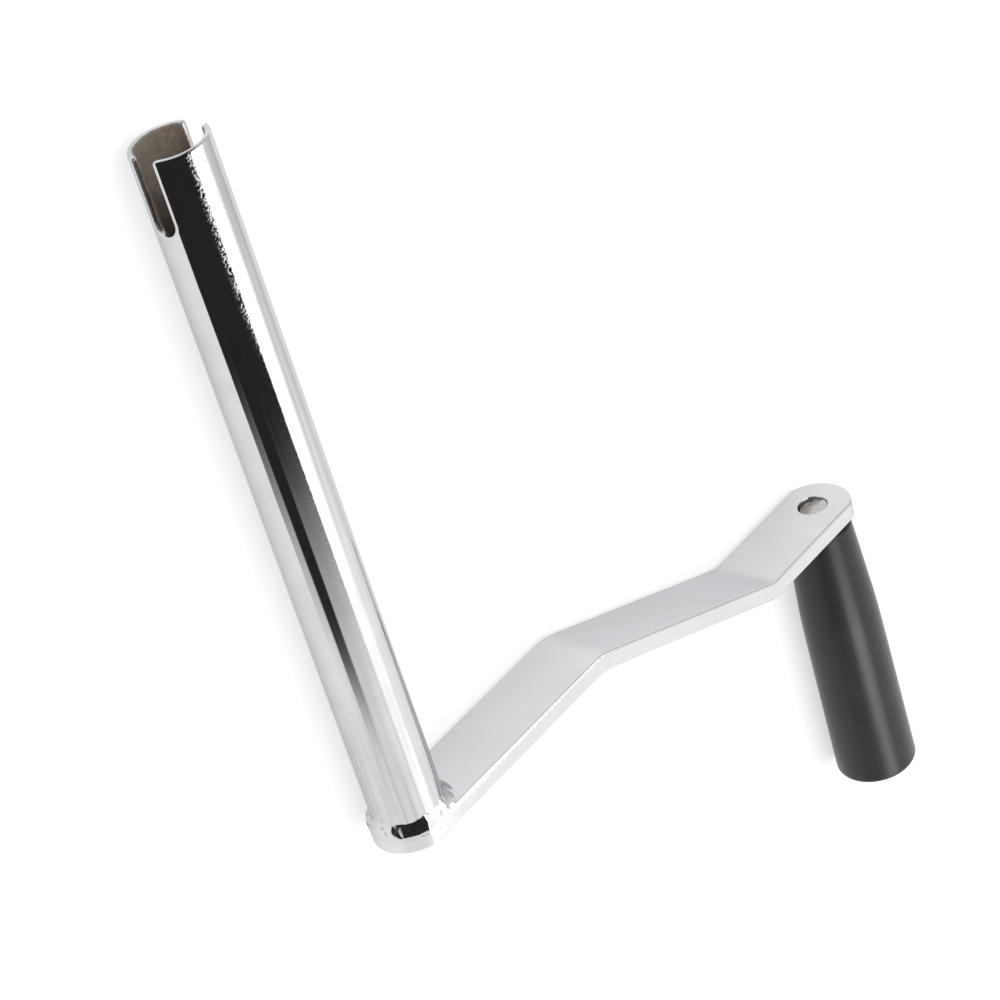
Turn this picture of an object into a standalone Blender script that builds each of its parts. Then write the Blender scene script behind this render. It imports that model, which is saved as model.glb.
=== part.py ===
"""Loose crank handle of a trailer tongue jack, in metres with +Z up.

A slotted drive tube stands on one end of an offset flat arm, with a weld bead round its foot. A plastic
grip spins on a shouldered pin at the arm's other end. The handle lies on its side. Everything is placed
in the crank frame, an empty: the tube's axis is its +Y, the arm runs along its +X, Y = 0 is the face of
the arm that the tube stands on, and the plane Z = 0 halves every piece.
"""

import math

import bmesh
import bpy
from mathutils import Matrix

# Gap between pieces that touch on the real object.
GAP = 0.0003

# Drive tube, which slips over a jack's shaft. The shaft's cross pin drops into the two slots.
TUBE_RADIUS = 0.0127
TUBE_WALL = 0.0021
TUBE_LENGTH = 0.2540
SLOT_WIDTH = 0.0080
SLOT_DEPTH = 0.0254

# Crank arm, a flat bar bent twice. The margins are how far it reaches past the tube.
ARM_THICKNESS = 0.0068
ARM_SIDE_MARGIN = 0.0011
ARM_END_MARGIN = 0.0021
ARM_REACH = 0.2300
ARM_DROP = 0.0369
FIRST_BEND = 0.0918
SECOND_BEND = 0.1845
BEND_RADIUS = 0.0140

# Weld bead round the tube's foot.
WELD_UP_TUBE = 0.0045
WELD_BULGE = 0.0006

# Pin that the grip turns on: a tail peened into the arm, a shoulder, a shaft and a head.
TAIL_RADIUS = 0.0054
TAIL_RECESS = 0.0012
SHAFT_RADIUS = 0.0065
HEAD_RADIUS = 0.0095
HEAD_HEIGHT = 0.0030
HEAD_CHAMFER = 0.0006

# Washers at the two ends of the grip.
WASHER_THICKNESS = 0.0012
ARM_WASHER_RADIUS = 0.0105
HEAD_WASHER_RADIUS = 0.0105

# Grip: narrow at the arm, then flaring to its full girth, which grows a little more to the end.
GRIP_LENGTH = 0.1160
GRIP_ARM_RADIUS = 0.0128
GRIP_NECK_LENGTH = 0.0415
GRIP_NECK_RADIUS = 0.0152
GRIP_END_RADIUS = 0.0159
GRIP_SOFTENING = 0.0060
GRIP_ARM_ROUND = 0.0010
GRIP_END_ROUND = 0.0020
GRIP_RUNNING_GAP = 0.0003
COUNTERBORE_GAP = 0.0010
HEAD_RECESS = 0.0015

# What the sizes above settle.
BORE_RADIUS = TUBE_RADIUS - TUBE_WALL
ARM_HALF_WIDTH = TUBE_RADIUS + ARM_SIDE_MARGIN
ARM_END_RADIUS = TUBE_RADIUS + ARM_END_MARGIN
ARM_BEND_ANGLE = math.atan2(ARM_DROP, SECOND_BEND - FIRST_BEND)
HOLE_RADIUS = TAIL_RADIUS + GAP
GRIP_START = GAP + WASHER_THICKNESS + GAP
GRIP_END = GRIP_START + GRIP_LENGTH
HEAD_TOP = GRIP_END - HEAD_RECESS
HEAD_SEAT = HEAD_TOP - HEAD_HEIGHT
HEAD_WASHER_SEAT = HEAD_SEAT - GAP - WASHER_THICKNESS
COUNTERBORE_FLOOR = HEAD_WASHER_SEAT - GAP
COUNTERBORE_RADIUS = max(HEAD_RADIUS, HEAD_WASHER_RADIUS) + COUNTERBORE_GAP
GRIP_BORE_RADIUS = SHAFT_RADIUS + GRIP_RUNNING_GAP
GRIP_WIDEST = max(GRIP_ARM_RADIUS, GRIP_NECK_RADIUS, GRIP_END_RADIUS)
REST_HEIGHT = max(GRIP_WIDEST, ARM_HALF_WIDTH)

TUBE_SIDES = 96
GRIP_SIDES = 64
PIN_SIDES = 48
HOLE_SIDES = 48
SHARP_ANGLE = math.radians(35)

# Cutters that pass through the arm face on, and past the bead and both faces of the arm.
CUTTER_DEPTH = 2 * (ARM_DROP + 2 * ARM_THICKNESS + WELD_UP_TUBE + WELD_BULGE)
FACE_ON = Matrix.Rotation(math.pi / 2, 4, "X")


def plain_material(name, colour, roughness, metallic):
    """A Principled material of one colour."""
    material = bpy.data.materials.new(name)
    material.use_nodes = True
    shader = material.node_tree.nodes["Principled BSDF"]
    shader.inputs["Base Color"].default_value = (*colour, 1.0)
    shader.inputs["Roughness"].default_value = roughness
    shader.inputs["Metallic"].default_value = metallic
    material.diffuse_color = (*colour, 1.0)
    return material


def new_object(name, bm, material, parent):
    """An object with this mesh, shaded smooth with sharp edges, under a parent empty."""
    bmesh.ops.remove_doubles(bm, verts=bm.verts, dist=1e-7)
    bmesh.ops.recalc_face_normals(bm, faces=bm.faces)
    mesh = bpy.data.meshes.new(name)
    bm.to_mesh(mesh)
    bm.free()
    mesh.shade_smooth()
    mesh.set_sharp_from_angle(angle=SHARP_ANGLE)
    if material:
        mesh.materials.append(material)
    obj = bpy.data.objects.new(name, mesh)
    obj.parent = parent
    bpy.context.scene.collection.objects.link(obj)
    return obj


def new_empty(name, place, turn_about_x, parent=None):
    """An empty that a group of pieces is placed by."""
    empty = bpy.data.objects.new(name, None)
    empty.location = place
    empty.rotation_euler = (turn_about_x, 0.0, 0.0)
    empty.parent = parent
    bpy.context.scene.collection.objects.link(empty)
    return empty


def turned(name, profile, sides, material, parent):
    """A turned piece: a closed outline of (radius, height) points, spun once about the local Z axis."""
    bm = bmesh.new()
    corners = [bm.verts.new((radius, 0.0, height)) for radius, height in profile]
    edges = [bm.edges.new((a, b)) for a, b in zip(corners, corners[1:] + corners[:1])]
    bmesh.ops.spin(
        bm,
        geom=corners + edges,
        cent=(0, 0, 0),
        axis=(0, 0, 1),
        angle=2 * math.pi,
        steps=sides,
        use_merge=True,
    )
    on_axis = [v for v in bm.verts if math.hypot(v.co.x, v.co.y) < 1e-7]
    bmesh.ops.remove_doubles(bm, verts=on_axis, dist=1e-6)
    return new_object(name, bm, material, parent)


def prism(name, outline, depth, turn, material, parent):
    """A flat outline of (u, v) points, extruded by depth about its own plane and then turned."""
    bm = bmesh.new()
    face = bm.faces.new([bm.verts.new((u, v, -depth / 2)) for u, v in outline])
    grown = bmesh.ops.extrude_face_region(bm, geom=[face])
    moved = [item for item in grown["geom"] if isinstance(item, bmesh.types.BMVert)]
    bmesh.ops.translate(bm, verts=moved, vec=(0, 0, depth))
    bmesh.ops.transform(bm, matrix=turn, verts=bm.verts)
    return new_object(name, bm, material, parent)


def cut(obj, cutter, operation="DIFFERENCE"):
    """Takes the cutter away from the object, or keeps only what both share."""
    cutter.hide_render = True
    cutter.display_type = "WIRE"
    modifier = obj.modifiers.new(cutter.name, "BOOLEAN")
    modifier.operation = operation
    modifier.object = cutter


def arc(centre, radius, start, end, steps):
    """Points of an arc of (u, v), both ends included."""
    points = []
    for i in range(steps + 1):
        angle = start + (end - start) * i / steps
        points.append((centre[0] + radius * math.cos(angle), centre[1] + radius * math.sin(angle)))
    return points


def drive_tube(material, frame):
    """The tube: a turned ring, with a U slot cut through both walls at the mouth."""
    axis = new_empty("tube_axis", (0, 0, 0), -math.pi / 2, frame)
    foot = GAP
    ring = [
        (TUBE_RADIUS, foot),
        (TUBE_RADIUS, TUBE_LENGTH),
        (BORE_RADIUS, TUBE_LENGTH),
        (BORE_RADIUS, foot),
    ]
    tube = turned("drive_tube", ring, TUBE_SIDES, material, axis)
    half = SLOT_WIDTH / 2
    past_mouth = TUBE_LENGTH + TUBE_WALL
    round_centre = TUBE_LENGTH - SLOT_DEPTH + half
    slot = arc((0, round_centre), half, -math.pi, 0, 16) + [(half, past_mouth), (-half, past_mouth)]
    upright = Matrix.Rotation(math.pi / 2, 4, "Z") @ Matrix.Rotation(math.pi / 2, 4, "X")
    cut(tube, prism("slot_cutter", slot, 2 * (TUBE_RADIUS + TUBE_WALL), upright, None, axis))
    return tube


def arm_middle_line():
    """Points and unit normals along the middle of the bar's thickness: three straight runs and two bends."""
    radius = BEND_RADIUS + ARM_THICKNESS / 2
    shift = ARM_THICKNESS / 2 * math.tan(ARM_BEND_ANGLE / 2)
    tangent = radius * math.tan(ARM_BEND_ANGLE / 2)
    steps = 8
    points = [(-ARM_END_RADIUS - GAP, -ARM_THICKNESS / 2, 0.0)]
    first = (FIRST_BEND - shift - tangent, -ARM_THICKNESS / 2 - radius)
    second = (SECOND_BEND - shift + tangent, -ARM_DROP - ARM_THICKNESS / 2 + radius)
    for i in range(steps + 1):
        angle = ARM_BEND_ANGLE * i / steps
        points.append((first[0] + radius * math.sin(angle), first[1] + radius * math.cos(angle), angle))
    for i in range(steps + 1):
        angle = ARM_BEND_ANGLE * (1 - i / steps)
        points.append((second[0] - radius * math.sin(angle), second[1] - radius * math.cos(angle), angle))
    points.append((ARM_REACH + ARM_END_RADIUS + GAP, -ARM_DROP - ARM_THICKNESS / 2, 0.0))
    return [((x, y), (math.sin(angle), math.cos(angle))) for x, y, angle in points]


def arm_plan_cutter(name, frame):
    """The arm seen face on, its sides straight and its ends round, as a prism deep enough for all that it trims."""
    corner = math.asin(ARM_HALF_WIDTH / ARM_END_RADIUS)
    plan = arc((ARM_REACH, 0), ARM_END_RADIUS, -corner, corner, 24)
    plan += arc((0, 0), ARM_END_RADIUS, math.pi - corner, math.pi + corner, 24)
    return prism(name, plan, CUTTER_DEPTH, FACE_ON, None, frame)


def crank_arm(material, frame):
    """The arm: its bent side view extruded over its width, trimmed to its plan, with a hole for the pin."""
    line = arm_middle_line()
    half = ARM_THICKNESS / 2
    upper = [(x + half * nx, y + half * ny) for (x, y), (nx, ny) in line]
    lower = [(x - half * nx, y - half * ny) for (x, y), (nx, ny) in line]
    bar = prism(
        "crank_arm", upper + lower[::-1], 2 * ARM_HALF_WIDTH, Matrix.Identity(4), material, frame
    )
    cut(bar, arm_plan_cutter("arm_plan", frame), "INTERSECT")
    circle = arc((ARM_REACH, 0), HOLE_RADIUS, 0, 2 * math.pi, HOLE_SIDES)[:-1]
    cut(bar, prism("arm_hole", circle, CUTTER_DEPTH, FACE_ON, None, frame))
    return bar


def weld_bead(material, frame):
    """The bead: a ring whose section is a fillet with a slightly bulging face, no wider than the arm."""
    axis = new_empty("weld_axis", (0, 0, 0), -math.pi / 2, frame)
    inner = TUBE_RADIUS + GAP
    outer = ARM_END_RADIUS
    top = GAP + WELD_UP_TUBE
    section = [(inner, GAP)]
    steps = 6
    for i in range(steps + 1):
        share = i / steps
        bulge = WELD_BULGE * math.sin(math.pi * share)
        section.append((outer + (inner - outer) * share + bulge, GAP + (top - GAP) * share + bulge))
    bead = turned("weld_bead", section, TUBE_SIDES, material, axis)
    cut(bead, arm_plan_cutter("bead_plan", frame), "INTERSECT")
    return bead


def grip_pin(material, grip_axis):
    """The pin: the tail fills the arm's hole, the shoulder meets the arm's back, the head is sunk in the grip."""
    tail_end = TAIL_RECESS - ARM_THICKNESS
    outline = [
        (0, tail_end),
        (TAIL_RADIUS, tail_end),
        (TAIL_RADIUS, GAP),
        (SHAFT_RADIUS, GAP),
        (SHAFT_RADIUS, HEAD_SEAT),
        (HEAD_RADIUS, HEAD_SEAT),
        (HEAD_RADIUS, HEAD_TOP - HEAD_CHAMFER),
        (HEAD_RADIUS - HEAD_CHAMFER, HEAD_TOP),
        (0, HEAD_TOP),
    ]
    return turned("grip_pin", outline, PIN_SIDES, material, grip_axis)


def washer(name, seat, outer, material, grip_axis):
    """A flat washer on the pin's shaft."""
    inner = SHAFT_RADIUS + GAP
    outline = [
        (inner, seat),
        (outer, seat),
        (outer, seat + WASHER_THICKNESS),
        (inner, seat + WASHER_THICKNESS),
    ]
    return turned(name, outline, PIN_SIDES, material, grip_axis)


def grip_radius(height):
    """Outer radius at a height above the grip's start: two straight tapers joined by a soft corner."""
    neck_slope = (GRIP_NECK_RADIUS - GRIP_ARM_RADIUS) / GRIP_NECK_LENGTH
    body_slope = (GRIP_END_RADIUS - GRIP_NECK_RADIUS) / (GRIP_LENGTH - GRIP_NECK_LENGTH)
    past = height - GRIP_NECK_LENGTH
    corner = math.hypot(past, GRIP_SOFTENING)
    return GRIP_NECK_RADIUS + (neck_slope + body_slope) / 2 * past + (body_slope - neck_slope) / 2 * corner


def grip_sleeve(material, grip_axis):
    """The grip: a turned sleeve with rounded rims, a bore for the pin and a counterbore for its head."""
    stations = 20
    first = GRIP_ARM_ROUND
    last = GRIP_LENGTH - GRIP_END_ROUND
    outline = [(GRIP_BORE_RADIUS, GRIP_START)]
    start_centre = (grip_radius(first) - GRIP_ARM_ROUND, GRIP_START + GRIP_ARM_ROUND)
    outline += arc(start_centre, GRIP_ARM_ROUND, -math.pi / 2, 0, 4)
    for i in range(1, stations):
        height = first + (last - first) * i / stations
        outline.append((grip_radius(height), GRIP_START + height))
    end_centre = (grip_radius(last) - GRIP_END_ROUND, GRIP_END - GRIP_END_ROUND)
    outline += arc(end_centre, GRIP_END_ROUND, 0, math.pi / 2, 6)
    outline += [
        (COUNTERBORE_RADIUS, GRIP_END),
        (COUNTERBORE_RADIUS, COUNTERBORE_FLOOR),
        (GRIP_BORE_RADIUS, COUNTERBORE_FLOOR),
    ]
    return turned("grip_sleeve", outline, GRIP_SIDES, material, grip_axis)


for old in list(bpy.data.objects):
    bpy.data.objects.remove(old)

chrome = plain_material("chrome_plate", (0.80, 0.81, 0.82), 0.10, 1.0)
bare_steel = plain_material("bare_steel", (0.38, 0.35, 0.31), 0.45, 1.0)
zinc = plain_material("zinc_plate", (0.62, 0.63, 0.64), 0.35, 1.0)
black_plastic = plain_material("black_plastic", (0.03, 0.03, 0.032), 0.42, 0.0)

# The origin is under the middle of the handle as it lies, level with its lowest line.
low_x = -ARM_END_RADIUS
high_x = ARM_REACH + max(ARM_END_RADIUS, GRIP_WIDEST)
low_y = -ARM_DROP - ARM_THICKNESS - GRIP_END
crank_frame = new_empty(
    "crank_frame", (-(low_x + high_x) / 2, -(low_y + TUBE_LENGTH) / 2, REST_HEIGHT), 0.0
)
pin_axis = new_empty("grip_axis", (ARM_REACH, -ARM_DROP - ARM_THICKNESS, 0), math.pi / 2, crank_frame)

drive_tube(chrome, crank_frame)
crank_arm(chrome, crank_frame)
weld_bead(chrome, crank_frame)
grip_pin(bare_steel, pin_axis)
washer("arm_washer", GAP, ARM_WASHER_RADIUS, zinc, pin_axis)
washer("head_washer", HEAD_WASHER_SEAT, HEAD_WASHER_RADIUS, zinc, pin_axis)
grip_sleeve(black_plastic, pin_axis)
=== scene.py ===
"""Looks of a trailer jack's loose crank handle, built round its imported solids.

The handle lies on its side. Each section makes one piece as it is put together: tube, arm, weld, pin,
washers and grip, and then the stand that it is shown on. Pieces are worked out in the crank's own axes,
X along the arm, Y up the tube and Z out of the arm's edge, from the point where the tube's axis meets the
arm's face, and then moved to that point. Sizes are in metres.
"""

import math

import bmesh
import bpy
import numpy as np
from mathutils import Matrix, Vector


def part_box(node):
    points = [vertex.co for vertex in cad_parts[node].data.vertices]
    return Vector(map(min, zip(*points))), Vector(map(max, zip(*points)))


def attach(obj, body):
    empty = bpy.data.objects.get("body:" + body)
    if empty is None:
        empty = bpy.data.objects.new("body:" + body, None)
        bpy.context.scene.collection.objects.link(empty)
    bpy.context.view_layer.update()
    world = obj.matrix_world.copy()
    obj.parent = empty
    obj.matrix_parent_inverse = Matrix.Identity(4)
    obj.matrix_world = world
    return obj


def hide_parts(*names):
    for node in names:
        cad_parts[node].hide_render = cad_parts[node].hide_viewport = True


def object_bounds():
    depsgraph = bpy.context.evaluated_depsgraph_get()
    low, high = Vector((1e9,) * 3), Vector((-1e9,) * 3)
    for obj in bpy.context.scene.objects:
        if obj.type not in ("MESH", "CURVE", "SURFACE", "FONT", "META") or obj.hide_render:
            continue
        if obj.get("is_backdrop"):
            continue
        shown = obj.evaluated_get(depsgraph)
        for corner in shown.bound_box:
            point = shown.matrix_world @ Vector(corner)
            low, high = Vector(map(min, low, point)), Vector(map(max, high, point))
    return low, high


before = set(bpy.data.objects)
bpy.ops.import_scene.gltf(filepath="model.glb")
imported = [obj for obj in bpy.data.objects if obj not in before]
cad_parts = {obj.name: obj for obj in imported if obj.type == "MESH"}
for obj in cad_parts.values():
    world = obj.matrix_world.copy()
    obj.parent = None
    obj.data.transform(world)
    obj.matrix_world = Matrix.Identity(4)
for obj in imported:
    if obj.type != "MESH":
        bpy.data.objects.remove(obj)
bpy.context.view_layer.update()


# ---------------------------------------------------------------------------------------------------
# Drive tube. Welded steel tube, 25 mm across, with a round-bottomed slot milled through both walls at
# its mouth for the jack's cross pin. Its edges were deburred before plating, and chrome doesn't throw
# far into a bore, so the inside stays bare.
# ---------------------------------------------------------------------------------------------------
tube_low, tube_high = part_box("drive_tube")
arm_low, arm_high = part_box("crank_arm")
foot = np.array([(tube_low.x + tube_high.x) / 2, arm_high.y, (tube_low.z + tube_high.z) / 2])
tube_radius = (tube_high.x - tube_low.x) / 2
tube_length = tube_high.y - arm_high.y
tube_wall = 0.0021
bore_radius = tube_radius - tube_wall
slot_half_width = 0.0040
slot_depth = 0.0254
slot_corner = 0.0014
# An edge's rounding is (how far it cuts into the wall's thickness, how far it runs down the wall).
outer_break = (0.0007, 0.0013)
inner_break = (0.00135, 0.0010)
slot_inner_break = 0.00012
slot_bareness = 0.65
seam_height = 0.00080
seam_half_width = math.radians(30)
seam_angle = math.radians(216)
seam_run_out = 0.004
lean_below_slot = 0.012
lean_room = math.radians(26)
merge_distance = 2e-7
sliver_length = 1e-8


def spread(start, end, count, ends=True):
    """Evenly spaced numbers, as a row."""
    return np.linspace(start, end, count, endpoint=ends)


def column(values):
    """The same numbers as a column, one for each row of a grid."""
    return np.asarray(values, float).reshape(-1, 1)


def waves(turn, across, seed, cycles, slants=(0, 0), count=12):
    """Smooth unevenness of about -1 to 1 that closes on itself: a sum of sines, each with a whole number of
    cycles in one turn, a random slant across and a random phase, divided by 1.5 times the root of half their
    number."""
    random = np.random.default_rng(seed)
    total = 0.0
    for _ in range(count):
        around = random.integers(cycles[0], cycles[1] + 1)
        sideways = random.uniform(*slants)
        phase = random.uniform(0, 2 * math.pi)
        total = total + np.sin(2 * math.pi * (around * turn + sideways * across) + phase)
    return total / math.sqrt(count / 2) / 1.5


def grid_faces(rows, columns, rows_closed, columns_closed):
    """Corner numbers of the four-sided faces between neighbouring rows and columns of a grid."""
    row = np.arange(rows if rows_closed else rows - 1)
    col = np.arange(columns if columns_closed else columns - 1)
    r, c = np.meshgrid(row, col, indexing="ij")
    here, below = r * columns, (r + 1) % rows * columns
    beside = (c + 1) % columns
    return np.stack([here + c, here + beside, below + beside, below + c], -1).reshape(-1, 4)


def surface(name, patches, material, at=foot, values=None):
    """One mesh of one or more grids of points. A patch is (points, rows_closed, columns_closed). Points that
    meet are merged, which closes seams and poles, and faces are turned outwards."""
    points, faces, used = [], [], 0
    for grid, rows_closed, columns_closed in patches:
        rows, columns, _ = grid.shape
        points.append(grid.reshape(-1, 3))
        faces.append(grid_faces(rows, columns, rows_closed, columns_closed) + used)
        used += rows * columns
    points, faces = np.concatenate(points) + at, np.concatenate(faces)
    mesh = bpy.data.meshes.new(name)
    mesh.vertices.add(len(points))
    mesh.vertices.foreach_set("co", points.astype(np.float32).ravel())
    mesh.loops.add(faces.size)
    mesh.loops.foreach_set("vertex_index", faces.astype(np.int32).ravel())
    mesh.polygons.add(len(faces))
    mesh.polygons.foreach_set("loop_start", np.arange(0, faces.size, 4, dtype=np.int32))
    mesh.update(calc_edges=True)
    for label, numbers in (values or {}).items():
        layer = mesh.attributes.new(label, "FLOAT", "POINT")
        layer.data.foreach_set("value", np.asarray(numbers, np.float32).ravel())
    bm = bmesh.new()
    bm.from_mesh(mesh)
    bmesh.ops.remove_doubles(bm, verts=bm.verts, dist=merge_distance)
    bmesh.ops.dissolve_degenerate(bm, edges=bm.edges, dist=sliver_length)
    bmesh.ops.recalc_face_normals(bm, faces=bm.faces)
    bm.to_mesh(mesh)
    bm.free()
    mesh.validate()
    mesh.shade_smooth()
    mesh.materials.append(material)
    made = bpy.data.objects.new(name, mesh)
    bpy.context.scene.collection.objects.link(made)
    return made


def fit(piece, node, body):
    """The piece stands for a solid of the frame, whose own mesh is hidden, and moves with its body."""
    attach(piece, body)
    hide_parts(node)


def connect(tree, node, inputs):
    """Sets a node's inputs, each given as a number, a colour, or another node's output."""
    for name, value in inputs.items():
        socket = node.inputs[name]
        if isinstance(value, bpy.types.NodeSocket):
            tree.links.new(value, socket)
        else:
            socket.default_value = value


def shader_node(tree, kind, inputs=None, **settings):
    """Adds a shader node with these settings and inputs."""
    made = tree.nodes.new(kind)
    for name, value in settings.items():
        setattr(made, name, value)
    connect(tree, made, inputs or {})
    return made


def new_material(name):
    """A Principled material, its node tree and its shader."""
    material = bpy.data.materials.new(name)
    material.use_nodes = True
    tree = material.node_tree
    return material, tree, tree.nodes["Principled BSDF"]


def pattern_place(tree, centre, stretch=(1.0, 1.0, 1.0), turn=(0, 0, 0)):
    """Object coordinates centred on a point of the crank, turned, and then scaled along each axis."""
    coordinates = shader_node(tree, "ShaderNodeTexCoord")
    moved = shader_node(
        tree, "ShaderNodeVectorMath",
        {0: coordinates.outputs["Object"], 1: tuple(-np.asarray(centre))}, operation="ADD",
    )
    placed = shader_node(
        tree, "ShaderNodeMapping",
        {"Vector": moved.outputs[0], "Rotation": turn, "Scale": stretch},
    )
    return placed.outputs[0]


def noise(tree, vector, scale, detail=3.0, roughness=0.55):
    """Fractal noise from 0 to 1, with this many lumps to a metre."""
    made = shader_node(
        tree, "ShaderNodeTexNoise",
        {"Vector": vector, "Scale": scale, "Detail": detail, "Roughness": roughness},
    )
    return made.outputs["Fac"]


def ranged(tree, value, low, high, to_low=0.0, to_high=1.0):
    """A value between low and high, moved smoothly to another range and held at its ends."""
    made = shader_node(
        tree, "ShaderNodeMapRange",
        {"Value": value, "From Min": low, "From Max": high, "To Min": to_low, "To Max": to_high},
        interpolation_type="SMOOTHSTEP",
    )
    return made.outputs[0]


def opaque(colour):
    """A colour as a socket takes it. Another node's output stays as it is."""
    return colour if isinstance(colour, bpy.types.NodeSocket) else (*colour, 1.0)


def blend_colour(tree, factor, first, second):
    """A mix of two colours."""
    inputs = {0: factor, 6: opaque(first), 7: opaque(second)}
    return shader_node(tree, "ShaderNodeMix", inputs, data_type="RGBA").outputs[2]


def blend_number(tree, factor, first, second):
    """A mix of two numbers."""
    inputs = {0: factor, 2: first, 3: second}
    return shader_node(tree, "ShaderNodeMix", inputs, data_type="FLOAT").outputs[0]


def mottled(tree, pattern, low, high, first, second):
    """One colour that passes into another where a pattern rises from low to high."""
    return blend_colour(tree, ranged(tree, pattern, low, high), first, second)


def times(tree, first, second):
    """The product of two values."""
    return shader_node(tree, "ShaderNodeMath", {0: first, 1: second}, operation="MULTIPLY").outputs[0]


def bumps(tree, shader, layers):
    """Relief from a chain of (height 0 to 1, its depth in metres) layers."""
    normal = None
    for height, depth in layers:
        inputs = {"Height": height, "Distance": depth, "Strength": 1.0}
        if normal:
            inputs["Normal"] = normal
        normal = shader_node(tree, "ShaderNodeBump", inputs).outputs[0]
    tree.links.new(normal, shader.inputs["Normal"])


chrome_colour = (0.585, 0.593, 0.606)
chrome_shade = (0.550, 0.557, 0.568)
chrome_graze = (0.78, 0.79, 0.80, 1.0)
# Grey of the painted streaks near the foot, which stand in for streaky reflections.
chrome_painted_streak = (0.475, 0.476, 0.472)
bore_steel = (0.208, 0.188, 0.164)
bore_rust = (0.255, 0.214, 0.170)
bore_rust_pale = (0.390, 0.314, 0.245)
# Pits fade in and out between these places along the arm, and set in over these heights on the tube.
worn_from = (-0.0062, -0.0045)
worn_to = (-0.0002, 0.0022)
worn_height = (0.175, 0.215)
worn_least = 0.10
# The weld's heat left waviness up to this height. Painted grey streaks, darker lines that stand in for
# streaky reflections near the foot, fade out over these.
heated_length = 0.10
painted_streak_height = (0.010, 0.085)


def tube_finish():
    """Chrome over drawn tube: lengthwise draw marks and waviness that grow towards the welded foot, painted
    grey streaks there that stand in for streaky reflections, pits that grow towards the mouth along one worn
    side, and bare brown steel where the plating value falls to nought."""
    material, tree, shader = new_material("tube_plating")
    lengthwise = pattern_place(tree, foot, (1.0, 0.02, 1.0))
    plain = pattern_place(tree, foot)
    along_arm, up, _ = shader_node(tree, "ShaderNodeSeparateXYZ", {0: plain}).outputs
    plating = shader_node(tree, "ShaderNodeAttribute", attribute_name="plating").outputs["Fac"]
    marks = noise(tree, lengthwise, 1500.0, 4.0)
    wide_marks = noise(tree, lengthwise, 560.0, 2.0)
    mottle = noise(tree, plain, 70.0, 4.0)
    grit = noise(tree, plain, 900.0, 5.0, 0.7)
    stain = noise(tree, plain, 170.0, 4.0)
    specks = ranged(tree, noise(tree, plain, 1300.0, 2.0), 0.46, 0.70)
    worn_side = times(tree, ranged(tree, along_arm, *worn_from), ranged(tree, along_arm, *worn_to, 1.0, 0.0))
    worn_end = ranged(tree, up, *worn_height, worn_least, 1.0)
    pits = times(tree, times(tree, specks, worn_side), worn_end)
    heat = times(tree, wide_marks, ranged(tree, up, 0.0, heated_length, 1.0, 0.25))
    painted_streak_pattern = ranged(tree, wide_marks, 0.44, 0.62, 0.0, 0.8)
    painted_streaks = times(tree, painted_streak_pattern, ranged(tree, up, *painted_streak_height, 1.0, 0.0))
    edge = shader_node(tree, "ShaderNodeMath", {0: plating, 1: stain}, operation="ADD").outputs[0]
    covered = ranged(tree, edge, 0.88, 1.08)
    chrome = mottled(tree, mottle, 0.35, 0.7, chrome_colour, chrome_shade)
    # Painted reflection: grey streaks darken the chrome near the foot.
    chrome = blend_colour(tree, painted_streaks, chrome, chrome_painted_streak)
    rust = mottled(tree, stain, 0.35, 0.65, bore_rust, bore_rust_pale)
    bare = mottled(tree, grit, 0.3, 0.7, bore_steel, rust)
    gloss = ranged(tree, marks, 0.3, 0.75, 0.035, 0.085)
    dull = ranged(tree, grit, 0.25, 0.75, 0.50, 0.66)
    connect(tree, shader, {
        "Base Color": blend_colour(tree, covered, bare, chrome),
        "Metallic": ranged(tree, covered, 0.0, 1.0, 0.35, 1.0),
        "Specular Tint": chrome_graze,
        "Roughness": blend_number(tree, covered, dull, gloss),
    })
    bumps(tree, shader, [(marks, 0.0000020), (heat, 0.0000500), (pits, 0.0000400), (grit, 0.0000012)])
    return material


def slot_path(count_bottom=16, count_side=30, count_corner=8, count_rim=26):
    """The mouth's edge over a quarter of the tube, from the slot's bottom to midway between the slots: a
    quarter circle, the slot's straight side, a rounded corner and the rim. It gives each point's distance
    from the slot's middle, its height, the direction into the metal, its share of the way along the rim,
    and its share of the way up the slot's side."""
    centre_height = tube_length - slot_depth + slot_half_width
    turn = spread(0, math.pi / 2, count_bottom)
    bottom = [slot_half_width * np.sin(turn), centre_height - slot_half_width * np.cos(turn),
              np.sin(turn), -np.cos(turn), 0 * turn, 0 * turn]
    share = spread(0, 1, count_side)[1:]
    height = centre_height + share * (tube_length - slot_corner - centre_height)
    side = [slot_half_width + 0 * share, height, 1 + 0 * share, 0 * share, 0 * share, share]
    turn = spread(0, math.pi / 2, count_corner)[1:]
    corner = [slot_half_width + slot_corner * (1 - np.cos(turn)),
              tube_length - slot_corner * (1 - np.sin(turn)),
              np.cos(turn), -np.sin(turn), 0 * turn, 1 + 0 * turn]
    share = spread(0, 1, count_rim)[1:]
    rim = [slot_half_width + slot_corner + 0 * share, tube_length + 0 * share,
           0 * share, -1 + 0 * share, share, 1 + 0 * share]
    return np.concatenate([bottom, side, corner, rim], axis=1)


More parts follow.
